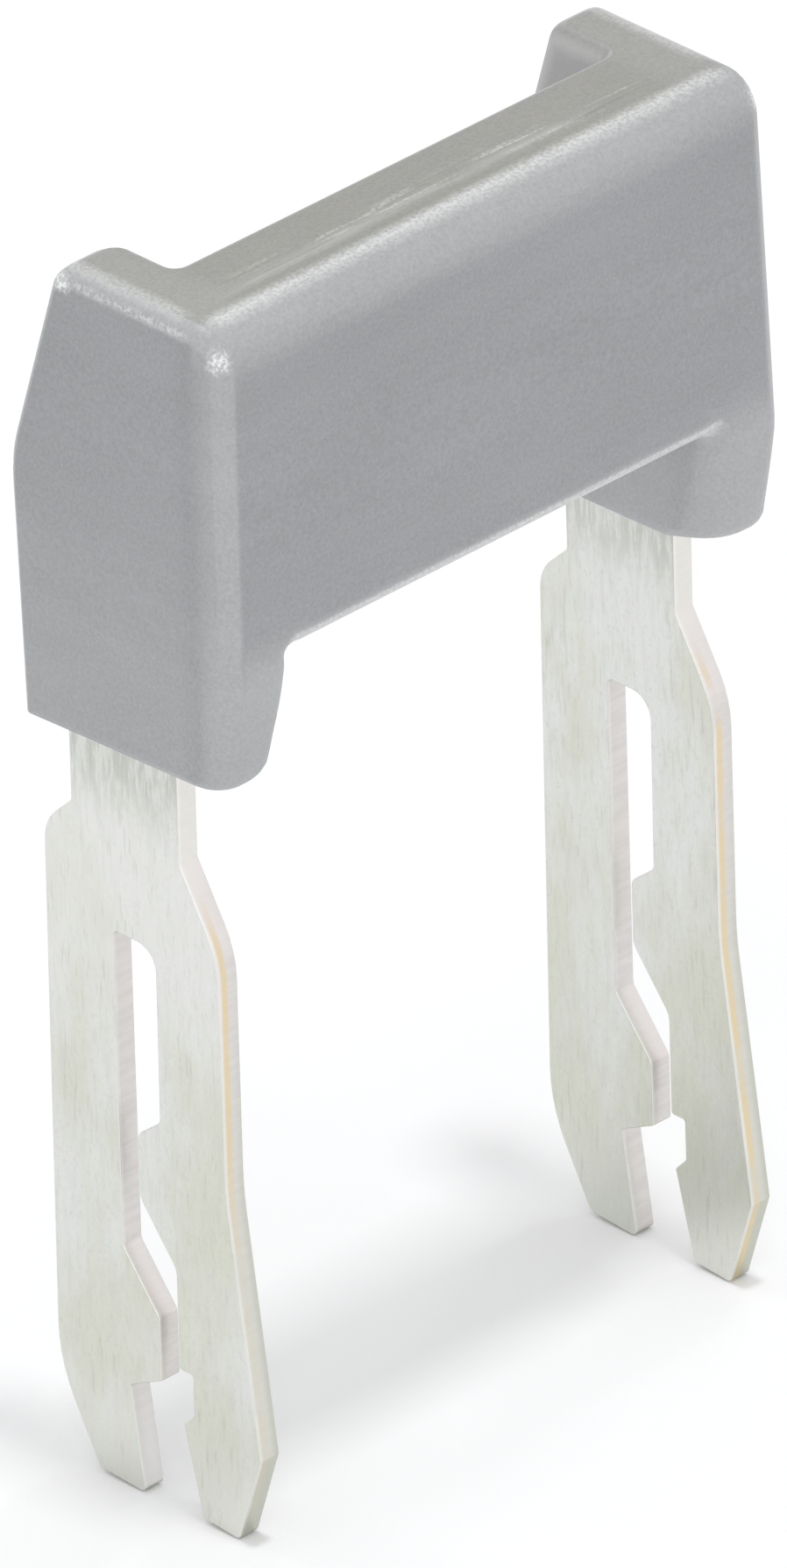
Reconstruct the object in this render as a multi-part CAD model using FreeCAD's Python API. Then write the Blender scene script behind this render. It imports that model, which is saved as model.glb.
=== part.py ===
"""Jumper bar that links two positions in a row of terminal blocks.

Two pieces: a moulded insulating housing, and one stamped and bent contact
bridge whose two forked blades plug into the blocks. Millimetres, +Z up, +X
along the row, -Y towards the plain front. The origin lies midway between the
two blades, level with the underside of the housing's feet and at mid width
of the blades' necks.
"""
import math
import os
import FreeCAD
import Part
from FreeCAD import Vector

# Contact bridge: sheet, necks and the part inside the housing
PITCH = 12.0                 # between the middle planes of the two blades
SHEET = 0.45                 # thickness of the sheet metal
NECK_WIDTH = 2.66            # width of a blade where it enters the housing
BEND_INSIDE = 0.3            # inside radius of the two bends
STRIP_HEIGHT = 4.4           # height of the cross strip inside the bar
STRIP_COVER = 1.2            # plastic above the strip
PLATE_CUT_BACK = 0.95        # slanted corner of the hidden plate, along Y
PLATE_CUT_DOWN = 2.75        # the same cut, along Z

# Blade outline: widths from the neck's middle, depths below the feet
BLADE_BACK = 2.03            # back edge, under its shoulder
BACK_LEAN = 0.1              # the back edge leans out by this much further down
BLADE_FRONT = 2.215          # front edge
BACK_SHOULDER_TOP = 1.78     # depth where the back shoulder leaves the neck
BACK_SHOULDER_DROP = 0.65    # height of the back shoulder
BACK_SHOULDER_RADIUS = 0.9
FRONT_SHOULDER_TOP = 2.05    # depth where the front shoulder leaves the neck
FRONT_SHOULDER_DROP = 1.55   # height of the front shoulder
FRONT_SHOULDER_RADIUS = 2.0
NECK_CORNER_RADIUS = 0.15    # inside corner between neck and shoulder
FLARE_TOP = 8.3              # depth where the front edge starts to lean out
FLARE = 0.66                 # how far it leans out at its widest
FLARE_RADIUS = 6.0

# Slot between the tines, from its round end down to the tips
SLOT_TOP = 4.0               # depth of the round end
SLOT_BACK = 0.4              # slot's back edge, from the neck's middle
SLOT_WIDTH = 1.05            # upper part of the slot
SLOT_END_RADIUS = 0.45       # front corner of the slot's upper end
SLOT_CORNER_RADIUS = 0.12    # back corner of the same end
UPPER_SLOT = 3.45            # from the round end to the pinch
UPPER_TAPER = 0.03           # the upper part narrows by this much
PINCH_DROP = 0.42            # height of the step into the pinch
PINCH_WIDTH = 0.46           # gap between the tines at the pinch
PINCH_LENGTH = 1.28          # straight part of the pinch
JOG = 0.85                   # step of the gap towards the front
JOG_DROP = 1.1               # height of that step
JOG_LEAD = 1.15              # the front tine steps this much above the back one
NARROW_BACK = 1.65           # back tine's straight edge under the jog
NARROW_FRONT = 1.99          # front tine's straight edge under the jog
STEP_BACK = 0.785            # back tine's step out to the mouth
STEP_RISE = 0.38             # the step's edge rises this much towards the front
CATCH_DEPTH = 0.33           # notch in the front tine
CATCH_HEIGHT = 0.8
HOOK_OUT = 0.265             # the hook's point, out from the notch's bottom
HOOK_DROP = 0.28
MOUTH_LENGTH = 2.07          # back tine under the step
BACK_MOUTH_LEAN = 0.3        # its inner edge leans to the front
FRONT_MOUTH_LENGTH = 1.8     # front tine under the hook
FRONT_MOUTH_LEAN = 0.42      # its inner edge leans to the front
CHAMFER_WIDTH = 0.6          # slanted cut at the front tine's tip
CHAMFER_HEIGHT = 1.8
BACK_TIP_WIDTH = 0.945       # slanted and curved cut at the back tine's tip
BACK_TIP_HEIGHT = 1.8
BACK_TIP_RADIUS = 3.0
TIP_SLOPE = 0.08             # the tips' lower edges rise this much at one end
GAP_RADIUS = 0.2             # soft corners of the gap between the tines
TIP_RADIUS = 0.12            # small corners at the tips

# Housing: walls around the contact
END_WALL = 0.525             # plastic outside each blade, at the feet
FRONT_WALL = 1.165           # plastic in front of the strip
BACK_WALL = 0.565            # plastic behind each neck, at the feet
BAR_DEPTH = 2.67             # bar, front to back
HEIGHT = 8.95                # housing above the feet's underside
FOOT_DROP = 2.45             # feet below the bar's underside
FLANGE_FOOT = 1.74           # end flange, from its outer plane, at the feet
FLANGE_TOP = 1.6             # the same at the top
END_DRAFT = 0.2              # end faces lean in by this much at the top
FRONT_DRAFT = 0.13           # front face leans in by this much at the top
KNEE_HEIGHT = 4.9            # the flange's back face has its knee here
KNEE_OUT = 0.28              # how far the back face comes out at the knee
TOP_SETBACK = 0.93           # back face at the top, in from its foot
FOOT_SETBACK = 0.32          # front of the feet's underside, in from the bar
FRONT_KNEE_DROP = 0.35       # the front turns in this far below the bar

# Housing: rounded edges
KNEE_RADIUS = 3.0
FRONT_KNEE_RADIUS = 1.5
FOOT_CORNER_RADIUS = 0.15    # inside corner between foot and bar
RECESS_RADIUS = 0.2          # inside corners behind the bar
FRONT_TOP_RADIUS = 0.8
CORNER_RADIUS = 0.45         # upright front corners
OUTER_NOSE_RADIUS = 0.62     # the same corners, at the feet's underside
INNER_NOSE_TOP_RADIUS = 0.7  # the feet's front corners towards the gap, at the bar
INNER_NOSE_RADIUS = 1.05     # the same corners, at the feet's underside
END_TOP_RADIUS = 0.4
BACK_TOP_RADIUS = 0.4
INNER_TOP_RADIUS = 0.2
BACK_OUTER_RADIUS = 0.2      # upright back corners, on the end faces
BACK_INNER_RADIUS = 0.5      # the same, on the recess side
FOOT_FRONT_RADIUS = 0.15
LIP_RADIUS = 0.35            # bar's lower front edge and the feet's inner corners

# Positions that follow from the sizes above
BLADE_X = PITCH / 2
NECK_BACK_Y = NECK_WIDTH / 2
NECK_FRONT_Y = -NECK_WIDTH / 2
STRIP_FRONT_Y = NECK_FRONT_Y - BEND_INSIDE - SHEET
STRIP_TOP = HEIGHT - STRIP_COVER
STRIP_BOTTOM = STRIP_TOP - STRIP_HEIGHT
HALF_LENGTH = BLADE_X + SHEET / 2 + END_WALL
FRONT_Y = STRIP_FRONT_Y - FRONT_WALL
BAR_BACK_Y = FRONT_Y + BAR_DEPTH
FOOT_BACK_Y = NECK_BACK_Y + BACK_WALL
INNER_FOOT_X = HALF_LENGTH - FLANGE_FOOT
INNER_TOP_X = HALF_LENGTH - FLANGE_TOP
BEYOND = 2.0                 # cutting tools run this far past the part
NEAR = 0.02                  # tolerance for finding edges


def in_side_view(y, z):
    return Vector(0, y, z)


def in_front_view(x, z):
    return Vector(x, 0, z)


def in_plan(x, y):
    return Vector(x, y, 0)


def rounded_corner(before, corner, after, radius):
    """Start, middle and end of the arc that rounds one corner of an outline."""
    to_before = Vector(before[0] - corner[0], before[1] - corner[1], 0).normalize()
    to_after = Vector(after[0] - corner[0], after[1] - corner[1], 0).normalize()
    half_angle = to_before.getAngle(to_after) / 2
    reach = radius / math.tan(half_angle)
    inward = (to_before + to_after).normalize()
    depth = radius / math.sin(half_angle) - radius
    tip = Vector(corner[0], corner[1], 0)
    return tip + to_before * reach, tip + inward * depth, tip + to_after * reach


def outline_face(corners, place):
    """Flat face from (a, b, radius) corners, drawn in the view that place gives."""
    arcs = []
    for index, (a, b, radius) in enumerate(corners):
        following = corners[(index + 1) % len(corners)]
        if radius:
            arcs.append(rounded_corner(corners[index - 1], (a, b), following, radius))
        else:
            arcs.append((Vector(a, b, 0), None, Vector(a, b, 0)))
    edges = []
    for index, (start, middle, end) in enumerate(arcs):
        if middle:
            points = [place(p.x, p.y) for p in (start, middle, end)]
            edges.append(Part.Arc(*points).toShape())
        onward = arcs[(index + 1) % len(arcs)][0]
        edges.append(Part.makeLine(place(end.x, end.y), place(onward.x, onward.y)))
    return Part.Face(Part.Wire(edges))


def mirrored(shape):
    return shape.mirror(Vector(0, 0, 0), Vector(1, 0, 0))


def front_tine_corners():
    """Gap side, tip and outer edge of the front tine, from the slot's end down and up."""
    slot_front = SLOT_WIDTH - SLOT_BACK
    pinch_front = PINCH_WIDTH - SLOT_BACK
    pinch_top = SLOT_TOP + UPPER_SLOT
    pinch_start = pinch_top + PINCH_DROP
    jog_top = pinch_start + PINCH_LENGTH
    jog_end = jog_top + JOG_DROP
    narrow = pinch_front + JOG
    catch_top = jog_end + NARROW_FRONT
    catch_end = catch_top + CATCH_HEIGHT
    hook_depth = catch_end + HOOK_DROP
    hook = narrow + CATCH_DEPTH - HOOK_OUT
    tip_depth = hook_depth + FRONT_MOUTH_LENGTH
    widest = BLADE_FRONT + FLARE
    return [
        (slot_front, SLOT_TOP, SLOT_END_RADIUS),
        (slot_front - UPPER_TAPER, pinch_top, GAP_RADIUS),
        (pinch_front, pinch_start, GAP_RADIUS),
        (pinch_front, jog_top, 2 * GAP_RADIUS),
        (narrow, jog_end, 2 * GAP_RADIUS),
        (narrow, catch_top, TIP_RADIUS / 2),
        (narrow + CATCH_DEPTH, catch_top, TIP_RADIUS / 2),
        (narrow + CATCH_DEPTH, catch_end, TIP_RADIUS / 2),
        (hook, hook_depth, TIP_RADIUS / 2),
        (hook + FRONT_MOUTH_LEAN, tip_depth - TIP_SLOPE, TIP_RADIUS),
        (widest - CHAMFER_WIDTH, tip_depth, TIP_RADIUS),
        (widest, tip_depth - CHAMFER_HEIGHT, TIP_RADIUS),
        (BLADE_FRONT, FLARE_TOP, FLARE_RADIUS),
        (BLADE_FRONT, FRONT_SHOULDER_TOP + FRONT_SHOULDER_DROP, FRONT_SHOULDER_RADIUS),
        (-NECK_FRONT_Y, FRONT_SHOULDER_TOP, NECK_CORNER_RADIUS),
    ]


def back_tine_corners():
    """Outer edge, tip and gap side of the back tine, from the neck down and up."""
    jog_top = SLOT_TOP + UPPER_SLOT + PINCH_DROP + PINCH_LENGTH + JOG_LEAD
    jog_end = jog_top + JOG_DROP
    step_end = jog_end + NARROW_BACK
    narrow = JOG - SLOT_BACK
    mouth = narrow - STEP_BACK
    tip_depth = step_end + MOUTH_LENGTH
    widest = BLADE_BACK + BACK_LEAN
    tip_back = BACK_TIP_WIDTH - widest
    return [
        (-NECK_BACK_Y, BACK_SHOULDER_TOP, NECK_CORNER_RADIUS),
        (-BLADE_BACK, BACK_SHOULDER_TOP + BACK_SHOULDER_DROP, BACK_SHOULDER_RADIUS),
        (-widest, tip_depth - TIP_SLOPE - BACK_TIP_HEIGHT, BACK_TIP_RADIUS),
        (tip_back, tip_depth - TIP_SLOPE, 2 * TIP_RADIUS),
        (mouth + BACK_MOUTH_LEAN, tip_depth, TIP_RADIUS),
        (mouth, step_end, TIP_RADIUS / 2),
        (narrow, step_end - STEP_RISE, TIP_RADIUS / 2),
        (narrow, jog_end, GAP_RADIUS),
        (-SLOT_BACK, jog_top, GAP_RADIUS),
        (-SLOT_BACK, SLOT_TOP, SLOT_CORNER_RADIUS),
    ]


def hidden_plate_corners():
    """The flat part above the neck, inside the flange, up to the strip's top edge."""
    return [
        (NECK_FRONT_Y, STRIP_BOTTOM, 0),
        (NECK_FRONT_Y, STRIP_TOP, 0),
        (NECK_BACK_Y - PLATE_CUT_BACK, STRIP_TOP, 0),
        (NECK_BACK_Y, STRIP_TOP - PLATE_CUT_DOWN, 0),
    ]


def blade():
    """One flat blade: hidden plate, neck, shoulders and the two tines."""
    below = back_tine_corners() + front_tine_corners()
    corners = [(-forward, -depth, radius) for forward, depth, radius in below]
    outline = outline_face(corners + hidden_plate_corners(), in_side_view)
    flat = outline.extrude(Vector(SHEET, 0, 0))
    flat.translate(Vector(BLADE_X - SHEET / 2, 0, 0))
    return flat


def strip_plan():
    """Half of the bent strip seen from above: bend and cross plate."""
    outside = BEND_INSIDE + SHEET
    inside = BEND_INSIDE
    centre_x = BLADE_X + SHEET / 2 - outside
    slant = math.sqrt(0.5)
    outer = Part.Arc(
        in_plan(centre_x + outside, NECK_FRONT_Y),
        in_plan(centre_x + outside * slant, NECK_FRONT_Y - outside * slant),
        in_plan(centre_x, NECK_FRONT_Y - outside)).toShape()
    inner = Part.Arc(
        in_plan(centre_x, NECK_FRONT_Y - inside),
        in_plan(centre_x + inside * slant, NECK_FRONT_Y - inside * slant),
        in_plan(centre_x + inside, NECK_FRONT_Y)).toShape()
    path = [
        Part.makeLine(in_plan(centre_x, NECK_FRONT_Y - outside), in_plan(0, NECK_FRONT_Y - outside)),
        Part.makeLine(in_plan(0, NECK_FRONT_Y - outside), in_plan(0, NECK_FRONT_Y - inside)),
        Part.makeLine(in_plan(0, NECK_FRONT_Y - inside), in_plan(centre_x, NECK_FRONT_Y - inside)),
    ]
    close = Part.makeLine(in_plan(centre_x + inside, NECK_FRONT_Y), in_plan(centre_x + outside, NECK_FRONT_Y))
    return Part.Face(Part.Wire([outer] + path + [inner, close]))


def contact_bridge():
    """Two blades joined by one bent strip, all one piece of sheet metal."""
    half_strip = strip_plan().extrude(Vector(0, 0, STRIP_HEIGHT))
    half_strip.translate(Vector(0, 0, STRIP_BOTTOM))
    half = blade().fuse(half_strip)
    bridge = half.fuse(mirrored(half)).removeSplitter()
    return bridge.Solids[0]


def end_profile():
    """The flange seen from the end: foot, kneed back face, top and front."""
    return outline_face([
        (FOOT_BACK_Y, 0, 0),
        (FOOT_BACK_Y + KNEE_OUT, KNEE_HEIGHT, KNEE_RADIUS),
        (FOOT_BACK_Y - TOP_SETBACK, HEIGHT, 0),
        (FRONT_Y + FRONT_DRAFT, HEIGHT, 0),
        (FRONT_Y, FOOT_DROP - FRONT_KNEE_DROP, FRONT_KNEE_RADIUS),
        (FRONT_Y + FOOT_SETBACK, 0, 0)], in_side_view)


def front_outline():
    """The housing seen from the front: drafted ends and the gap between the feet."""
    top = HALF_LENGTH - END_DRAFT
    return outline_face([
        (-HALF_LENGTH, 0, 0),
        (-top, HEIGHT, 0),
        (top, HEIGHT, 0),
        (HALF_LENGTH, 0, 0),
        (INNER_FOOT_X, 0, 0),
        (INNER_FOOT_X, FOOT_DROP, FOOT_CORNER_RADIUS),
        (-INNER_FOOT_X, FOOT_DROP, FOOT_CORNER_RADIUS),
        (-INNER_FOOT_X, 0, 0)], in_front_view)


def recess_tool():
    """Everything behind the bar and between the two flanges."""
    outline = outline_face([
        (-INNER_FOOT_X, -BEYOND, 0),
        (-INNER_FOOT_X, FOOT_DROP, 0),
        (-INNER_TOP_X, HEIGHT, 0),
        (-INNER_TOP_X, HEIGHT + BEYOND, 0),
        (INNER_TOP_X, HEIGHT + BEYOND, 0),
        (INNER_TOP_X, HEIGHT, 0),
        (INNER_FOOT_X, FOOT_DROP, 0),
        (INNER_FOOT_X, -BEYOND, 0)], in_front_view)
    reach = FOOT_BACK_Y + KNEE_OUT + BEYOND - BAR_BACK_Y
    tool = outline.extrude(Vector(0, reach, 0))
    tool.translate(Vector(0, BAR_BACK_Y, 0))
    upright = [edge for edge in tool.Edges if is_upright(edge) and middle(edge).y < BAR_BACK_Y + NEAR]
    return tool.makeFillet(RECESS_RADIUS, upright)


def middle(edge):
    return edge.valueAt((edge.FirstParameter + edge.LastParameter) / 2)


def lowest(edge):
    return min(vertex.Z for vertex in edge.Vertexes)


def run(edge):
    """How far an edge runs along X, Y and Z."""
    step = edge.Vertexes[-1].Point - edge.Vertexes[0].Point
    return abs(step.x), abs(step.y), abs(step.z)


def is_upright(edge):
    along_x, along_y, along_z = run(edge)
    return along_z > max(along_x, along_y)


def is_crosswise(edge):
    along_x, along_y, along_z = run(edge)
    return along_x > max(along_y, along_z)


def edge_radii(edge):
    """Radii at both ends of one edge of the sharp housing, or none where it stays sharp."""
    point = middle(edge)
    at_top = point.z > HEIGHT - NEAR
    at_front = point.y < FRONT_Y + FOOT_SETBACK + NEAR
    outer = abs(point.x) > HALF_LENGTH - END_DRAFT - NEAR
    if is_upright(edge):
        return upright_radii(edge, point, at_front, outer)
    if is_crosswise(edge):
        return crosswise_radii(point, at_top, at_front)
    if at_top and outer:
        return END_TOP_RADIUS, END_TOP_RADIUS
    return None


def upright_radii(edge, point, at_front, outer):
    """Front corners grow softer down to the feet's underside; back corners keep one radius."""
    if at_front and outer:
        return graded(edge, CORNER_RADIUS, OUTER_NOSE_RADIUS)
    if at_front and abs(point.x) > INNER_FOOT_X - NEAR:
        return graded(edge, INNER_NOSE_TOP_RADIUS, INNER_NOSE_RADIUS)
    if point.y > NECK_BACK_Y - PLATE_CUT_BACK:
        radius = BACK_OUTER_RADIUS if outer else BACK_INNER_RADIUS
        return radius, radius
    return None


def graded(edge, above, below):
    """Radii of a front corner's edge: the upper pieces keep one, the lowest piece grows."""
    if lowest(edge) > NEAR:
        return above, above
    if edge.Vertexes[0].Z < NEAR:
        return below, above
    return above, below


def crosswise_radii(point, at_top, at_front):
    """Edges along the row: top edges, the bar's lip and the feet's front."""
    if at_top and at_front:
        return FRONT_TOP_RADIUS, FRONT_TOP_RADIUS
    if at_top and point.y < BAR_BACK_Y + NEAR:
        return INNER_TOP_RADIUS, INNER_TOP_RADIUS
    if at_top:
        return BACK_TOP_RADIUS, BACK_TOP_RADIUS
    if at_front and point.z < NEAR:
        return FOOT_FRONT_RADIUS, FOOT_FRONT_RADIUS
    if at_front and abs(point.z - FOOT_DROP) < NEAR:
        return LIP_RADIUS, LIP_RADIUS
    return None


def rounded(shape):
    """The shape with all its rounded edges made in one step, so the corners blend."""
    document = FreeCAD.newDocument("rounding")
    sharp = document.addObject("Part::Feature", "sharp")
    sharp.Shape = shape
    fillet = document.addObject("Part::Fillet", "fillet")
    fillet.Base = sharp
    plan = []
    for number, edge in enumerate(shape.Edges, 1):
        radii = edge_radii(edge)
        if radii:
            plan.append((number, *radii))
    fillet.Edges = plan
    document.recompute()
    result = fillet.Shape.copy()
    FreeCAD.closeDocument(document.Name)
    return result


def insulating_housing(bridge):
    """Bar with an end flange and foot at each end, moulded round the bridge."""
    length = end_profile().extrude(Vector(2 * HALF_LENGTH, 0, 0))
    length.translate(Vector(-HALF_LENGTH, 0, 0))
    depth = 2 * (HALF_LENGTH + BEYOND)
    slab = front_outline().extrude(Vector(0, depth, 0))
    slab.translate(Vector(0, -depth / 2, 0))
    body = length.common(slab).cut(recess_tool()).removeSplitter()
    body = rounded(body).cut(bridge)
    return body.Solids[0]


def main():
    os.makedirs("parts", exist_ok=True)
    bridge = contact_bridge()
    bridge.exportStep("parts/contact_bridge.step")
    insulating_housing(bridge).exportStep("parts/insulating_housing.step")


main()
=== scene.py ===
# %% [markdown]
# # A terminal block jumper bar
# The real object is about as wide as a thumbnail. A grey moulded housing holds one piece of
# tin-plated sheet metal, whose two forked blades plug into two terminal blocks. The
# construction program has already made both pieces to size. This lesson loads them, gives
# each a mesh that catches light along its edges, builds the two finishes node by node, and
# sets up a plain photo table.

# %% Load the measured model
import math

import bmesh
import bpy
from mathutils import Matrix, Vector


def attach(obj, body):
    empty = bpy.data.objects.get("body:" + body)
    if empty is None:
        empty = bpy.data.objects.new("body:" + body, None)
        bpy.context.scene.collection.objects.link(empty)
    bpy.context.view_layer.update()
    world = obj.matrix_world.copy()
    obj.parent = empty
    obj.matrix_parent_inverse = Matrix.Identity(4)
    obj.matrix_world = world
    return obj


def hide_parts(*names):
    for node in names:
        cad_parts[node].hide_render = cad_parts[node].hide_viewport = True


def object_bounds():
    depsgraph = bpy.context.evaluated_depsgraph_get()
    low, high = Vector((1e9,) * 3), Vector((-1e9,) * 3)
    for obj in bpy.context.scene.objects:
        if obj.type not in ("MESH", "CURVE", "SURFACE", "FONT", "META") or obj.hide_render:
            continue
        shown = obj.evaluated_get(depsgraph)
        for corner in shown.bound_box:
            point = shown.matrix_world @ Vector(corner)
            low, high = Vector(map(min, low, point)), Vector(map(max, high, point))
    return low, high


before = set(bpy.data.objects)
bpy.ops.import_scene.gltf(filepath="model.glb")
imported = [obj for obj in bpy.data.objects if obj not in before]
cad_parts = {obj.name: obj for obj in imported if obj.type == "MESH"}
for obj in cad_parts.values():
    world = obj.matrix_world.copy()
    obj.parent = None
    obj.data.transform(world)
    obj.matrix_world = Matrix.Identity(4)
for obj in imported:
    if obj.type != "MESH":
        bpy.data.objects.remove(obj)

MM = 0.001
cad_low, cad_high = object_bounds()
print("measured box in mm:", [round((b - a) / MM, 2) for a, b in zip(cad_low, cad_high)])

# %% [markdown]
# ## The undersides of the feet
# Each foot of the real housing has a softly rounded nose at the front, while its back stays
# square. A bevel can't fade out along an edge. So the mesh is cut into thin rings near the
# underside, and the points of each ring are drawn in towards the foot's middle along a
# quarter circle, by a share that grows from the back to the nose.

# %% A helper that rounds the feet
ROUNDING, RINGS = 0.29 * MM, 6
SQUARE_BACK, ROUND_NOSE = -1.5 * MM, -2.5 * MM
FOOT_MIDDLE_X, FOOT_MIDDLE_Y = 5.9 * MM, -1.9 * MM
ring_heights = [ROUNDING * (1 - math.cos(math.pi / 2 * k / RINGS)) for k in range(1, RINGS + 1)]


def rounded_feet(work):
    """Draws the underside's edge in: not at all at the square back, fully at the nose."""
    for ring in ring_heights:
        bmesh.ops.bisect_plane(
            work, geom=work.verts[:] + work.edges[:] + work.faces[:],
            plane_co=(0.0, 0.0, ring), plane_no=(0.0, 0.0, 1.0))
    moved = 0
    for vert in work.verts:
        x, y, z = vert.co
        if z > ROUNDING or y > SQUARE_BACK:
            continue
        share = min((SQUARE_BACK - y) / (SQUARE_BACK - ROUND_NOSE), 1.0)
        share = share * share * (3 - 2 * share)
        drawn_in = ROUNDING - math.sqrt(max(ROUNDING ** 2 - (ROUNDING - z) ** 2, 0.0))
        centre = Vector((math.copysign(FOOT_MIDDLE_X, x), max(y, FOOT_MIDDLE_Y), z))
        vert.co += (centre - vert.co).normalized() * drawn_in * share
        moved += 1
    print("feet rounded:", moved, "points drawn in")


print("rings up each foot in mm:", [round(ring / MM, 3) for ring in ring_heights])

# %% [markdown]
# ## Edges that catch the light
# No real edge is perfectly sharp. A moulded housing has small radii where the two mould
# halves meet, and a stamped sheet has a rolled edge on the side where the punch went in.
# A bevel modifier could do this, but the loaded mesh is split along every edge and cut into
# triangles. So the mesh is copied, joined up again, its flat triangles are merged into
# whole faces, and only then are the corners that are still sharp cut back.

# %% A helper that softens sharp edges
SAME_POINT = 0.0005 * MM
SAME_PLANE = math.radians(0.4)
SHARP = math.radians(35.0)
BEVEL_STEPS = 2
FLAT_FACE_WEIGHT = 60


def softened_copy(node, name, width, shape=None):
    """A copy of a loaded node with its sharp edges rounded by a small bevel."""
    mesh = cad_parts[node].data.copy()
    mesh.name = name
    work = bmesh.new()
    work.from_mesh(mesh)
    bmesh.ops.remove_doubles(work, verts=work.verts, dist=SAME_POINT)
    bmesh.ops.dissolve_limit(
        work, angle_limit=SAME_PLANE, verts=work.verts, edges=work.edges, delimit=set())
    if shape is not None:
        shape(work)
    work.normal_update()
    sharp = [e for e in work.edges if len(e.link_faces) == 2 and e.calc_face_angle() > SHARP]
    bmesh.ops.bevel(
        work, geom=sharp, offset=width, segments=BEVEL_STEPS, profile=0.5, affect="EDGES",
        clamp_overlap=True)
    for face in work.faces:
        face.smooth = True
    work.normal_update()
    work.to_mesh(mesh)
    work.free()
    mesh.materials.clear()
    piece = bpy.data.objects.new(name, mesh)
    bpy.context.scene.collection.objects.link(piece)
    weighted = piece.modifiers.new("flat_faces_stay_flat", "WEIGHTED_NORMAL")
    weighted.keep_sharp = False
    weighted.weight = FLAT_FACE_WEIGHT
    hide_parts(node)
    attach(piece, "root")
    print(name, "has", len(mesh.polygons), "faces;", len(sharp), "sharp edges were rounded")
    return piece


print("an edge is sharp from", round(math.degrees(SHARP)), "degrees, and gets a bevel")

# %% [markdown]
# ## The two pieces
# The housing and the contact each stand for one node of the construction model. Both could
# keep the loaded mesh, but then every edge would be a hard line. The plastic is softened a
# little more than the sheet, because a mould's radius is larger than a punched edge's.

# %% Soften both pieces
PLASTIC_SOFTENING, SHEET_SOFTENING = 0.04 * MM, 0.025 * MM
housing = softened_copy("insulating_housing", "grey_housing", PLASTIC_SOFTENING, rounded_feet)
contact = softened_copy("contact_bridge", "plated_contact", SHEET_SOFTENING)
print("pieces made:", housing.name, "and", contact.name)

# %% [markdown]
# ## Writing shader maths as plain expressions
# A finish is a formula: grain plus clouding, times a mask, and so on. Placing every Math
# node by hand hides that formula. The small class below wraps a node's output, so an
# expression such as 1 - mask adds the nodes for us. Most masks are a soft step along a
# direction, so the steps have methods of their own, and those that end in mm take
# millimetres, because Blender's own unit is the metre.

# %% A value that can be used in expressions
class Value:
    """A number or vector output that can be used in ordinary expressions."""

    def __init__(self, nodes, socket):
        self.nodes = nodes
        self.socket = socket

    def _math(self, operation, first, second=None):
        inputs = {0: first} if second is None else {0: first, 1: second}
        return self.nodes.node("ShaderNodeMath", {"operation": operation}, inputs)

    def __add__(self, other):
        return self._math("ADD", self, other)

    def __radd__(self, other):
        return self._math("ADD", other, self)

    def __sub__(self, other):
        return self._math("SUBTRACT", self, other)

    def __rsub__(self, other):
        return self._math("SUBTRACT", other, self)

    def __mul__(self, other):
        return self._math("MULTIPLY", self, other)

    def __rmul__(self, other):
        return self._math("MULTIPLY", other, self)

    def __truediv__(self, other):
        return self._math("DIVIDE", self, other)

    def __rtruediv__(self, other):
        return self._math("DIVIDE", other, self)

    def __neg__(self):
        return 0 - self

    def size(self):
        """The value without its sign."""
        return self._math("ABSOLUTE", self)

    def sign(self):
        """1 for a value above zero, -1 for one below."""
        return self._math("SIGN", self)

    def at_least(self, low):
        """The larger of two values."""
        return self._math("MAXIMUM", self, low)

    def rise(self, start, end):
        """0 before start, 1 after end, and a soft S-curve between them."""
        settings = {"interpolation_type": "SMOOTHSTEP"}
        inputs = {"Value": self, "From Min": start, "From Max": end}
        return self.nodes.node("ShaderNodeMapRange", settings, inputs)

    def rise_mm(self, start, end):
        """The same step along a length, between two places in millimetres."""
        return self.rise(start * MM, end * MM)

    def fall_mm(self, start, end):
        """1 before start and 0 after end, in millimetres."""
        return 1 - self.rise_mm(start, end)

    def ridge(self, centre, half_width):
        """1 at the centre, falling softly to 0 at half_width on either side."""
        return 1 - (self - centre).size().rise(0.0, half_width)

    def ridge_mm(self, centre, half_width):
        """The same ridge across a length, in millimetres."""
        return self.ridge(centre * MM, half_width * MM)

    def part(self, letter):
        """One of a vector's three parts."""
        return self.nodes.node("ShaderNodeSeparateXYZ", {}, {"Vector": self}, letter)


print("a Value has", sum(callable(entry) for entry in vars(Value).values()), "methods")

# %% [markdown]
# ## One method for every other node
# Textures, bumps and colour mixes are nodes too. They could each be placed and linked by
# hand, but one method does it for all: it takes the node's type, its settings, and what its
# sockets get. A finish is a material with that method. It knows where each point lies on the
# object and which way it faces. Colours go through Mix nodes, because a Math node would turn
# them grey.

# %% The finish writer
class Nodes:
    """A node tree, with the one method that adds any node to it."""

    def __init__(self, tree):
        self.tree = tree

    def give(self, socket, value):
        """Links a varying value to a socket, or sets a constant on it."""
        if isinstance(value, Value):
            self.tree.links.new(value.socket, socket)
        else:
            socket.default_value = value

    def node(self, kind, settings, inputs, output=0):
        """Adds a node: settings first, then the values or links of its sockets."""
        added = self.tree.nodes.new(kind)
        for key, value in settings.items():
            setattr(added, key, value)
        for key, value in inputs.items():
            self.give(added.inputs[key], value)
        return Value(self, added.outputs[output])


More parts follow.
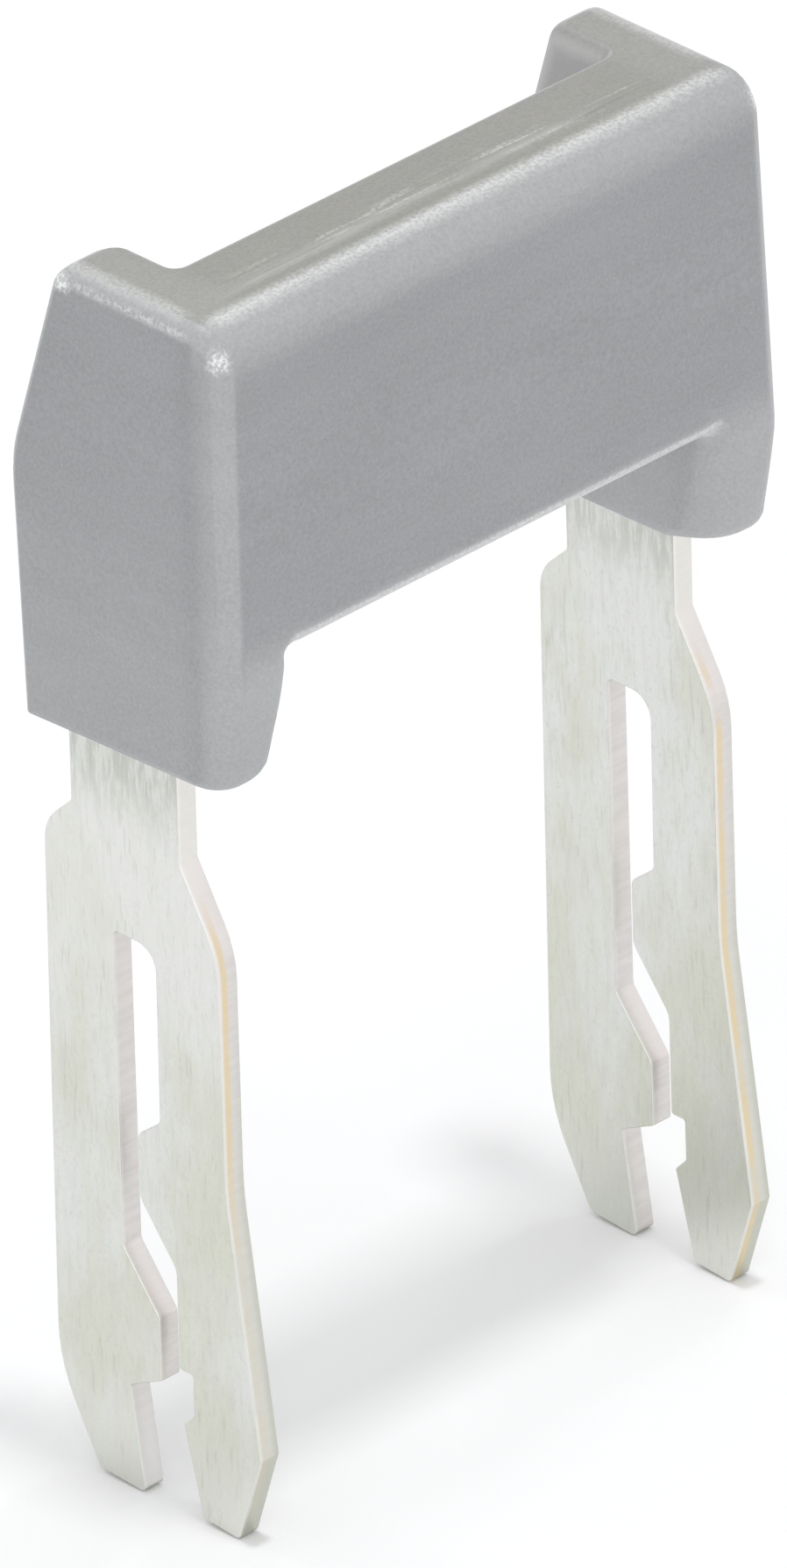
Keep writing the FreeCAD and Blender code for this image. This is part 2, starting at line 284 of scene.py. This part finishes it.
class Finish(Nodes):
    """One material with its Principled shader."""

    def __init__(self, name):
        self.material = bpy.data.materials.new(name)
        self.material.use_nodes = True
        super().__init__(self.material.node_tree)
        self.shader = self.tree.nodes["Principled BSDF"]
        self.place = self.node("ShaderNodeTexCoord", {}, {}, "Object")
        self.facing = self.node("ShaderNodeTexCoord", {}, {}, "Normal")

    def noise(self, x, y, z, detail=2.0, roughness=0.5):
        """Fractal noise from 0 to 1, with so many cells to the millimetre on each axis."""
        cells = {0: self.place, 1: (x / MM, y / MM, z / MM)}
        where = self.node("ShaderNodeVectorMath", {"operation": "MULTIPLY"}, cells)
        inputs = {"Vector": where, "Scale": 1.0, "Detail": detail, "Roughness": roughness}
        return self.node("ShaderNodeTexNoise", {"noise_dimensions": "3D"}, inputs, "Fac")

    def blend(self, factor, first, second):
        """A colour between two colours."""
        settings = {"data_type": "RGBA", "clamp_factor": True}
        return self.node("ShaderNodeMix", settings, {0: factor, 6: first, 7: second}, 2)

    def bump(self, height, distance, strength=1.0, under=None):
        """A Bump node; under is the bump that this one lies on."""
        inputs = {"Height": height, "Distance": distance, "Strength": strength}
        if under is not None:
            inputs["Normal"] = under
        return self.node("ShaderNodeBump", {}, inputs)

    def feed(self, name, value):
        """Gives one of the shader's sockets a varying value or a constant."""
        self.give(self.shader.inputs[name], value)


print("a Finish adds:", ", ".join(name for name in vars(Finish) if not name.startswith("_")))

# %% [markdown]
# ## Colours as a screen shows them
# A colour is easiest to judge as the three numbers that a screen shows, from 0 to 255.
# Blender works in linear light, where a mid grey is far below one half. One short function
# turns the first into the second, so every colour below is written as it is seen.

# %% From screen numbers to linear light
def colour(red, green, blue):
    """A colour as a screen shows it, 0 to 255, turned into the linear light Blender uses."""
    linear = []
    for part in (red, green, blue):
        c = part / 255
        linear.append(c / 12.92 if c <= 0.04045 else ((c + 0.055) / 1.055) ** 2.4)
    return (*linear, 1.0)


print("a mid grey of 157 is", round(colour(157, 157, 157)[0], 3), "in linear light")

# %% [markdown]
# ## The moulded grey plastic
# The housing is glass-filled plastic from a spark-eroded mould. Close up it is an even cool
# grey with a fine dull grain and faint clouding where the melt flowed. Its finish differs
# from place to place, and masks could be painted for that. Here each mask comes from where a
# point lies and which way it faces: outwards is 1 on the two ends and -1 on the flanges'
# inner sides, and a direction that lies between two axes marks a rounded edge.

# %% Which way the plastic faces
plastic = Finish("moulded_grey_plastic")
across, depth, height = (plastic.place.part(letter) for letter in "XYZ")
facing_x, facing_y, facing_z = (plastic.facing.part(letter) for letter in "XYZ")
off_middle = across.size()
outwards = facing_x * across.sign()
upward = facing_z.rise(0.5, 0.95)
backward = facing_y.rise(0.5, 0.9)
outer_face = outwards.rise(0.5, 0.95)
inward = (-outwards).rise(0.1, 0.5)
flattest = facing_x.size().at_least(facing_y.size()).at_least(facing_z.size())
between_axes = (1 - flattest).rise(0.0, 0.07)
print("the plastic's directions take", len(plastic.tree.nodes), "nodes")

# %% [markdown]
# ## Painted sheen and lighter places
# The rounded edges of the housing get a painted sheen, where they mirror the lamps and the
# white table, and they are a little smoother. The feet and the ends are painted a little
# lighter, and the lower edge of the bar's front gets the strongest painted reflection of the
# table. Each place gets a mask of its own, so that each can be stronger or weaker. The
# lengths are millimetres on the housing: height is 0 at the feet's underside and 8.95 at
# the top, and the front is at a depth of about -3.2.

# %% Masks of the painted sheen and lighter places
# Rounded edges get a painted sheen and are a little smoother: none at the back, and weaker high
# up on the inner sides.
rounded_edge = (between_axes * (1 - backward)
                * (1 - inward * height.rise_mm(4.0, 6.0) * 0.8))
# Both feet are painted lighter, mostly on their front and inner sides.
foot = (height.fall_mm(2.2, 3.2) * (1 - outer_face * 0.7) * 0.95
        * off_middle.rise_mm(4.6, 5.1) * (1 - inward * 0.12))
# The two ends: their lower half, painted lighter, their upright front edge, with a painted
# reflection of the table, and the flanges' tops, painted lighter.
low_end = height.fall_mm(0.5, 7.0) * outer_face * 0.45
upright = outer_face * depth.fall_mm(-2.8, -2.15) * (1 - height.rise_mm(1.0, 5.0) * 0.25)
flange_top = upward * off_middle.rise_mm(4.9, 5.6)
# A painted sheen band in front of the top edge, less of it just below, and the inner sides
# painted lighter.
front_band = depth.fall_mm(-2.5, -2.3) * height.rise_mm(8.0, 8.4)
below_line = height.ridge_mm(8.4, 0.45) * (-facing_y).rise(0.4, 0.8)
inner_side = (-outwards).rise(0.5, 0.9) * height.rise_mm(2.6, 4.4)
# The lip is the bar's lower front edge; it gets a painted reflection of the white table,
# strongest on its very edge, which looks down.
between_feet = off_middle.fall_mm(5.0, 5.3)
downward = -facing_z
lip_reflection = height.ridge_mm(2.5, 0.4) * (1 - upward) * between_feet
lip_edge_reflection = (downward.rise(0.05, 0.3) * (1 - downward.rise(0.75, 0.95)) * between_feet
            * height.rise_mm(1.8, 2.2))
print("with the masks of the sheen and lighter places it has", len(plastic.tree.nodes), "nodes")

# %% [markdown]
# ## Plastic that is a little sunken
# Thick moulded plastic shrinks while it cools, so the top of the bar isn't quite flat: it
# rolls off before the rounded front edge begins, and a faint ridge runs along it. Such a
# form is too slight to build, so a bump map tilts the light that falls on it. The grain
# lies on top of both, as the last bump.

# %% Slight forms and grain
# Noise cells to the millimetre along the row, from front to back, and upwards.
grain = plastic.noise(14, 14, 14, detail=2.0, roughness=0.7)
cloud = plastic.noise(0.26, 0.42, 0.42, detail=3.0)
flow = plastic.noise(0.22, 0.26, 1.9, detail=3.0)
streaks = plastic.noise(0.33, 5.2, 0.4, detail=3.0)
front_roll = (-1.95 * MM - depth).rise_mm(0.0, 1.1)
ridge = depth.ridge_mm(-1.87, 0.24) * upward * off_middle.fall_mm(4.5, 6.2)
rolled_off = plastic.bump(front_roll * -0.22, 1.0 * MM)
ridged = plastic.bump(ridge * streaks.rise(0.35, 0.6), 0.03 * MM, under=rolled_off)
plastic.feed("Normal", plastic.bump(grain, 0.011 * MM, 0.8, under=ridged))
plastic.feed("Specular IOR Level", 0.5)
print("with the bumps it has", len(plastic.tree.nodes), "nodes")

# %% [markdown]
# ## The plastic's colour
# The real plastic is cool grey on its sides, and its top gets a painted reflection that makes
# it slightly warmer and darker. It is painted lighter along its rounded edges, where this is a
# painted sheen, and on its feet and ends. A colour could be painted on each face, but a tone
# made of grain, clouding and flow gives every place its own darker and lighter grey, and the
# masks then choose between the places. Fine dotted lines along the top are painted highlights.

# %% Plastic colour
FACE_GREYS = colour(142, 144, 146), colour(161, 162, 165)
# The top's greys hold a painted warm reflection, a little darker than the sides.
TOP_REFLECTION_GREYS = colour(137, 137, 133), colour(156, 155, 150)
# Lighter greys for the painted sheen on the rounded edges and for the lighter feet and ends.
SHEEN_AND_LIGHTER_GREYS = colour(163, 164, 165), colour(180, 181, 183)
# Painted highlights on the top's ridge and along its dotted lines.
RIDGE_HIGHLIGHT_GREY, DOTTED_HIGHLIGHT_GREY = colour(184, 185, 181), colour(204, 206, 202)
# Greys of the painted reflection of the white table on the lip and on its very edge.
LIP_REFLECTION_GREY, LIP_EDGE_REFLECTION_GREY = colour(200, 201, 201), colour(212, 214, 213)
INNER_SIDE_GREY = colour(184, 185, 182)

tone = 0.5 + (cloud - 0.5) * 0.6 + (grain - 0.5) * 2.0 + (flow - 0.5) * 0.5
# Faces that look up take the top's painted reflection greys.
plain_tone = plastic.blend(
    upward, plastic.blend(tone, *FACE_GREYS), plastic.blend(tone, *TOP_REFLECTION_GREYS))
# Painted sheen on the rounded and upright edges and in front of the top edge; the feet, the
# ends' lower half and the flanges' tops are painted lighter.
sheen_and_lighter = rounded_edge.at_least(foot).at_least(low_end).at_least(front_band * 0.8)
sheen_and_lighter_share = sheen_and_lighter.at_least(upright).at_least(flange_top * 0.22) * (1 - below_line * 0.3)
sheen_and_lighter_tone = plastic.blend(sheen_and_lighter_share, plain_tone, plastic.blend(tone, *SHEEN_AND_LIGHTER_GREYS))
# The ridge along the top gets a broken painted highlight.
broken_ridge_highlight = ridge * streaks.rise(0.3, 0.6) * cloud.rise(0.4, 0.56)
ridge_highlight_tone = plastic.blend(broken_ridge_highlight * 0.6, sheen_and_lighter_tone, RIDGE_HIGHLIGHT_GREY)
# Fine dotted lines along the top, painted as highlights.
threads = plastic.noise(0.52, 8.5, 0.52, detail=1.0).rise(0.53, 0.66)
dotted_highlights = (threads * depth.ridge_mm(-1.72, 0.36) * upward
          * (0.3 + grain.rise(0.42, 0.56) * 0.7) * off_middle.fall_mm(4.5, 6.0))
dotted_highlight_tone = plastic.blend(dotted_highlights * 0.65, ridge_highlight_tone, DOTTED_HIGHLIGHT_GREY)
# The lip's painted reflection of the table, speckled on its very edge.
lip_reflection_tone = plastic.blend(lip_reflection, dotted_highlight_tone, LIP_REFLECTION_GREY)
speckled_lip_reflection = lip_edge_reflection * (0.2 + grain.rise(0.4, 0.62) * 0.8)
lip_edge_reflection_tone = plastic.blend(speckled_lip_reflection, lip_reflection_tone, LIP_EDGE_REFLECTION_GREY)
# The flanges' inner sides are painted a lighter grey.
matt_tone = plastic.blend(inner_side * 0.75, lip_edge_reflection_tone, INNER_SIDE_GREY)
print("with the colours it has", len(plastic.tree.nodes), "nodes")

# %% [markdown]
# ## Painted highlight lines
# The highlights where the bar's edges catch the lamps are painted: a broken line along the
# front top edge, one along each end, a thin one on the rim of each end, and small spots on
# the corners, which also get white glints. Along them the plastic is a little smoother too.
# The grain itself breaks the lines up, so they glint as a row of specks and not as a solid
# stripe.

# %% Painted highlight lines and spots
HIGHLIGHT_GREY, GLINT_WHITE = colour(222, 225, 224), colour(248, 250, 249)
near_top = height.rise_mm(8.2, 8.7)
on_rim = off_middle.rise_mm(6.25, 6.4)
long_line = depth.ridge_mm(-2.45, 0.32) * near_top * off_middle.fall_mm(5.9, 6.4)
end_line = off_middle.ridge_mm(6.22, 0.24) * near_top * depth.rise_mm(-2.3, -1.6)
thin_line = (height.ridge_mm(8.74, 0.09) * on_rim * depth.rise_mm(-2.4, -2.0)
             * depth.fall_mm(0.5, 0.8) * grain.rise(0.42, 0.6))
back_spot = depth.ridge_mm(0.8, 0.3) * height.ridge_mm(8.68, 0.22) * on_rim
front_spot = (off_middle.ridge_mm(6.42, 0.27) * depth.ridge_mm(-2.93, 0.27)
              * height.ridge_mm(8.47, 0.3))
highlight_spots = front_spot.at_least(back_spot)
breaks = 0.3 + grain.rise(0.36, 0.62) * 0.52 + cloud.rise(0.35, 0.6) * 0.18
broken_highlight_lines = long_line.at_least(end_line * 0.6).at_least(highlight_spots * 1.3) * breaks
painted_highlights = broken_highlight_lines.at_least(thin_line * 0.65)
# The lines and spots are painted highlights; the corner spots also get painted white glints.
highlight_tone = plastic.blend(painted_highlights * 0.8, matt_tone, HIGHLIGHT_GREY)
glints = highlight_spots * grain.rise(0.46, 0.6)
plastic.feed("Base Color", plastic.blend(glints * 0.9, highlight_tone, GLINT_WHITE))
plastic.feed("Roughness", 0.42 + (grain - 0.5) * 0.24 - rounded_edge * 0.05 - painted_highlights * 0.12)
housing.data.materials.append(plastic.material)
print("plastic finish uses", len(plastic.tree.nodes), "nodes")

# %% [markdown]
# ## The tin-plated sheet
# The contact is stamped from copper alloy and plated with tin. Its faces are bright but soft,
# and its cut edges are another surface: sheared metal with fine lines in the direction of the
# punch, a burr on the side where the punch came out, drawn as a painted highlight line, and
# beside it a thin copper-coloured line where the plating broke. Two materials could do it,
# but the direction that a point faces tells faces from edges, because the flat faces all
# point along X. So one finish serves the whole piece, and a point's place across the
# sheet's thickness, from -1 to 1, puts the burr's highlight and the copper-coloured line on
# the edge. Heights are millimetres above the feet's underside, so the tips of the blades are
# at about -15.

# %% Where the sheet is cut
tin = Finish("tin_plated_copper_alloy")
BLADE_PLACE, HALF_SHEET = 6.0 * MM, 0.225 * MM
along_row, towards_back, above_feet = (tin.place.part(letter) for letter in "XYZ")
sheet_x, sheet_z = tin.facing.part("X").size(), tin.facing.part("Z")
cut_edge = 1 - sheet_x.rise(0.4, 0.8)
edge_up = sheet_z.rise(0.1, 0.45) * cut_edge
edge_down = (-sheet_z).rise(0.08, 0.35) * cut_edge
through = (along_row - BLADE_PLACE * along_row.sign()) / HALF_SHEET
front_edge = towards_back.fall_mm(-1.3, -1.2)
right_blade = along_row.rise_mm(-1.0, 1.0)
left_blade = 1 - right_blade
low_down = above_feet.fall_mm(-13.0, -2.0)
tip_zone = above_feet.fall_mm(-14.9, -12.6)
neck_zone = above_feet.rise_mm(-2.7, -2.2)
print("the sheet's places take", len(tin.tree.nodes), "nodes")

# %% [markdown]
# ## The burr's painted highlight and the broken plating
# Both follow the cut edge as thin lines, one on each side of its middle: a painted highlight
# along the burr, and the copper-coloured line. A constant line would look drawn, so a coarse
# noise breaks them up, as the plating of the real blades breaks in some places and holds in
# others. The copper-coloured line is there on front edges only, and it fades towards the tip
# of the left blade, which is rubbed clean.

# %% Lines along the cut edge
# Places across the thickness, where -1 and 1 are the two faces.
BURR_PLACE, COPPER_PLACE = -0.88, -0.42
broken = tin.noise(0.9, 0.9, 0.7, detail=3.0).rise(0.3, 0.55)
from_burr, from_copper = (through - BURR_PLACE).size(), (through - COPPER_PLACE).size()
burr_highlight = cut_edge * (1 - from_burr.rise(0.06, 0.24)) * (0.5 + broken * 0.5)
unworn = above_feet.rise_mm(-10.0, -6.5).at_least(right_blade)
copper_line = (cut_edge * front_edge * (1 - from_copper.rise(0.15, 0.46)) * broken
               * above_feet.fall_mm(-3.3, -2.5) * (0.2 + unworn * 0.8))
far_side = front_edge * through.rise(0.1, 0.9) * low_down
print("with the lines it has", len(tin.tree.nodes), "nodes")

# %% [markdown]
# ## The colour of the faces
# Tin is like brushed silver at first. On the real blades it has faint lines from rolling the
# sheet, fine specks, straw-coloured patches where it has aged, and scuffs from plugging in.
# It has a painted shade right under the feet, where the housing shades it, and it is painted
# lighter at the tips and, on the left blade, a little lighter higher up; the rims of its
# faces get a painted highlight. Each of these is a noise, stretched the way that the mark
# runs, that blends one more colour over the ones before.

# %% Tin on the faces
TIN, STRAW = colour(222, 223, 220), colour(207, 209, 191)
ROLLING_LINE, SPECK = colour(196, 196, 189), colour(198, 199, 193)
LIGHTER_TIN, UNDER_FOOT_SHADE = colour(236, 236, 232), colour(180, 182, 174)
# The rims of the faces, where the bevel turns, get a painted highlight.
LIGHTER_TIP, SCUFF, RIM_HIGHLIGHT = colour(229, 230, 226), colour(184, 185, 176), colour(240, 239, 235)

rolled = tin.noise(3, 8, 1.3, detail=4.0, roughness=0.7)
patches = tin.noise(0.42, 0.52, 0.24, detail=4.0, roughness=0.6)
specks = tin.noise(12, 12, 9, detail=2.0)
scuffs = tin.noise(1.5, 13, 1.5, detail=2.0)
straw_share = (patches + low_down * 0.18).rise(0.46, 0.74) * 0.7
# The left blade is painted a little lighter higher up, and the tips are painted lighter.
lighter_share = left_blade * above_feet.rise_mm(-8.0, -3.0) * 0.35
# A painted shade on the neck right under the feet, where the housing shades it.
shade_under_feet = above_feet.rise_mm(-2.2, -0.4) * (0.4 + rolled.rise(0.4, 0.58) * 0.6)
scuff_share = scuffs.rise(0.56, 0.7) * patches.rise(0.42, 0.56) * 0.34

sheet_tone = TIN
for share, over in (
        (straw_share, STRAW), (rolled.rise(0.42, 0.8) * 0.38, ROLLING_LINE),
        (specks.rise(0.52, 0.8) * 0.45, SPECK), (lighter_share, LIGHTER_TIN),
        (shade_under_feet * 0.72, UNDER_FOOT_SHADE), (tip_zone * 0.6, LIGHTER_TIP),
        (scuff_share, SCUFF), (sheet_x.ridge(0.7, 0.28) * 0.6, RIM_HIGHLIGHT)):
    sheet_tone = tin.blend(share, sheet_tone, over)
print("with the faces' colours it has", len(tin.tree.nodes), "nodes")

# %% [markdown]
# ## The colour of the cut edges
# A sheared edge is a little pinker than the plated face. Where it looks up, at the
# shoulders, it gets a painted highlight, and where it looks down, at the tips, a painted
# shade.

# %% Tin on the cut edges
SHEARED_TONES = colour(223, 219, 217), colour(215, 211, 209)
LOW_FRONT, TIP_EDGE, NECK_EDGE = (
    colour(208, 209, 196), colour(238, 236, 235), colour(242, 240, 232))
# The shoulders get a painted highlight; edges that look down, and the far side of the front
# edges low down, a painted shade.
SHOULDER_HIGHLIGHT, UNDER_TIP_SHADE = colour(238, 232, 230), colour(184, 188, 174)
BARE_COPPER, BURR_HIGHLIGHT_WHITE = colour(230, 208, 162), colour(241, 240, 236)

punched = tin.noise(1.5, 9, 9, detail=3.0)
cut_tone = tin.blend(punched.rise(0.3, 0.7), *SHEARED_TONES)
for share, over in (
        (front_edge * low_down * 0.6, LOW_FRONT),
        (tip_zone * (1 - front_edge) * left_blade * 0.8, TIP_EDGE),
        (neck_zone * 0.5, NECK_EDGE), (edge_up * 0.7, SHOULDER_HIGHLIGHT),
        (edge_down.at_least(far_side) * 0.6, UNDER_TIP_SHADE)):
    cut_tone = tin.blend(share, cut_tone, over)
both_tones = tin.blend(cut_edge * 0.9, sheet_tone, cut_tone)
coppered = tin.blend(copper_line * 0.75, both_tones, BARE_COPPER)
# The burr is drawn as a painted bright highlight line.
tin.feed("Base Color", tin.blend(burr_highlight * 0.55, coppered, BURR_HIGHLIGHT_WHITE))
print("with the edges' colours it has", len(tin.tree.nodes), "nodes")

# %% [markdown]
# ## The sheen of the metal
# Metal shows its colour through reflections, so the same marks also change how rough it is
# and tilt its surface: rolling lines on the faces, punch lines on the cut edges, and specks
# over both. The bumps are a few thousandths of a millimetre high, as on the real sheet.

# %% Tin sheen and lines
tin.feed("Metallic", 1.0)
tin.feed("Roughness", 0.3 + (rolled - 0.5) * 0.14 + cut_edge * 0.12 + (specks - 0.5) * 0.08)
rolling_lines = tin.bump(rolled * (1 - cut_edge), 0.005 * MM, 0.5)
punch_lines = tin.bump(punched * cut_edge, 0.003 * MM, 0.3, under=rolling_lines)
tin.feed("Normal", tin.bump(specks, 0.004 * MM, 0.6, under=punch_lines))
contact.data.materials.append(tin.material)
print("tin finish uses", len(tin.tree.nodes), "nodes")

# %% [markdown]
# ## The photo table
# A product shot like this uses a white table and soft lamps. A curved backdrop would do as
# well, but a plane is enough when the camera looks down. It lies just under the blades'
# tips. Its own colour is nearly white, so it renders as white where the light reaches it
# and still takes the part's soft shadow.

# %% Floor
FLOOR_REACH, FLOOR_GAP = 1.2, 0.02 * MM
floor_z = cad_low.z - FLOOR_GAP
corners = [(x * FLOOR_REACH, y * FLOOR_REACH, floor_z)
           for x, y in ((-1, -1), (1, -1), (1, 1), (-1, 1))]
floor_mesh = bpy.data.meshes.new("table_top")
floor_mesh.from_pydata(corners, [], [(0, 1, 2, 3)])
floor = bpy.data.objects.new("table_top", floor_mesh)
bpy.context.scene.collection.objects.link(floor)
table = Finish("white_table")
table.feed("Base Color", (0.955, 0.96, 0.97, 1.0))
table.feed("Roughness", 0.9)
table.feed("Specular IOR Level", 0.0)
floor.data.materials.append(table.material)
print("table stands at", round(floor_z / MM, 2), "mm")

# %% [markdown]
# ## The sky
# An even white sky gives the plain level at which colours look as they are written. The
# camera, mirrors and glass should see a pure white background, and the part should get a
# little less light than that. The Light Path node tells those rays apart, so one sky does
# both.

# %% White sky
LIGHT_ON_PART, BACKGROUND_WHITE = 0.79, 1.0
world = bpy.data.worlds.new("white_sky")
bpy.context.scene.world = world
world.use_nodes = True
sky = Nodes(world.node_tree)
by_camera, by_mirror, by_glass = (
    sky.node("ShaderNodeLightPath", {}, {}, f"Is {kind} Ray")
    for kind in ("Camera", "Glossy", "Transmission"))
level = sky.node("ShaderNodeMapRange", {}, {
    "Value": by_camera.at_least(by_mirror.at_least(by_glass)),
    "To Min": LIGHT_ON_PART, "To Max": BACKGROUND_WHITE})
background = sky.tree.nodes["Background"]
sky.give(background.inputs["Strength"], level)
sky.give(background.inputs["Color"], (1.0, 1.0, 1.0, 1.0))
print("the sky has", len(sky.tree.nodes), "nodes")

# %% [markdown]
# ## The lamps
# A small lamp nearly overhead, a little to the front, casts the soft shadow between the
# blades. A highlight on a rounded edge is the mirror image of a lamp, so three small lamps
# stand where the long edge, the end edge and the corner reflect them to the camera. A wide
# and weak one at the front left fills the faces. The table gives each lamp's place and side
# in metres, and its power in watts.

# %% Five lamps
LAMPS = (
    ("overhead", (0.0, -0.06, 0.44), 0.04, 0.44),
    ("long_edge", (0.27, 0.07, 0.35), 0.06, 0.08),
    ("end_edge", (-0.06, 0.29, 0.34), 0.06, 0.06),
    ("corner", (-0.17, -0.15, 0.40), 0.05, 0.06),
    ("front_left", (-0.42, -0.36, 0.10), 0.24, 0.2),
)
middle = (cad_low + cad_high) / 2
for lamp_name, lamp_place, side, watts in LAMPS:
    light = bpy.data.lights.new(lamp_name, "AREA")
    light.shape = "SQUARE"
    light.size = side
    light.energy = watts
    lamp = bpy.data.objects.new(lamp_name, light)
    bpy.context.scene.collection.objects.link(lamp)
    lamp.location = lamp_place
    lamp.rotation_euler = (middle - Vector(lamp_place)).to_track_quat("-Z", "Y").to_euler()
print(len(LAMPS), "lamps point at", [round(v / MM, 1) for v in middle], "in mm")

# %% [markdown]
# ## Where the camera stands
# The photograph looks down on the part from the front left with a long lens. A camera could
# be placed by eye, but then no edge would lie where it does in the photograph. So its
# direction, its small roll and its scale were worked out from matching corners. One known
# corner fixes the aim: it has to land on its own pixel of the picture.

# %% Camera place and aim
AZIMUTH, ELEVATION, ROLL = (math.radians(a) for a in (-43.05, 29.45, -2.05))
DISTANCE = 650 * MM
PIXELS_PER_MM = 66.5
PICTURE = (898, 1789)
KNOWN_PIXEL = (31.0, 812.0)
KNOWN_POINT = Vector((-6.75, 1.785, 0.0)) * MM

back = Vector((
    math.sin(AZIMUTH) * math.cos(ELEVATION),
    -math.cos(AZIMUTH) * math.cos(ELEVATION),
    math.sin(ELEVATION)))
level_right = Vector((math.cos(AZIMUTH), math.sin(AZIMUTH), 0.0))
level_up = back.cross(level_right)
picture_right = math.cos(ROLL) * level_right + math.sin(ROLL) * level_up
picture_up = math.cos(ROLL) * level_up - math.sin(ROLL) * level_right
camera_place = KNOWN_POINT + back * DISTANCE
to_right = (PICTURE[0] / 2 - KNOWN_PIXEL[0]) / PIXELS_PER_MM * MM
to_down = (PICTURE[1] / 2 - KNOWN_PIXEL[1]) / PIXELS_PER_MM * MM
target = KNOWN_POINT + picture_right * to_right - picture_up * to_down
print("camera at", [round(v / MM) for v in camera_place], "mm")

# %% [markdown]
# ## The lens
# The camera's own axes are built from the line of sight, and its lens from the scale: a
# picture of so many pixels, at so many pixels to the millimetre and at this distance, needs
# this focal length. The plain Standard view shows colours without a film look.

# %% Camera lens
SENSOR = 36.0
NEAREST = 0.01
line_of_sight = (camera_place - target).normalized()
camera_right = picture_up.cross(line_of_sight).normalized()
camera_up = line_of_sight.cross(camera_right)
turn = Matrix((camera_right, camera_up, line_of_sight)).transposed().to_4x4()
lens = bpy.data.cameras.new("photo_camera")
lens.sensor_fit = "VERTICAL"
lens.sensor_height = SENSOR
lens.lens = SENSOR * (DISTANCE / MM) * PIXELS_PER_MM / PICTURE[1]
lens.clip_start = NEAREST
camera = bpy.data.objects.new("photo_camera", lens)
camera.matrix_world = Matrix.Translation(camera_place) @ turn
bpy.context.scene.collection.objects.link(camera)
bpy.context.scene.camera = camera
bpy.context.scene.view_settings.view_transform = "Standard"
print("camera lens", round(lens.lens), "mm")

# %% [markdown]
# The dressed model must stay inside the measured box.
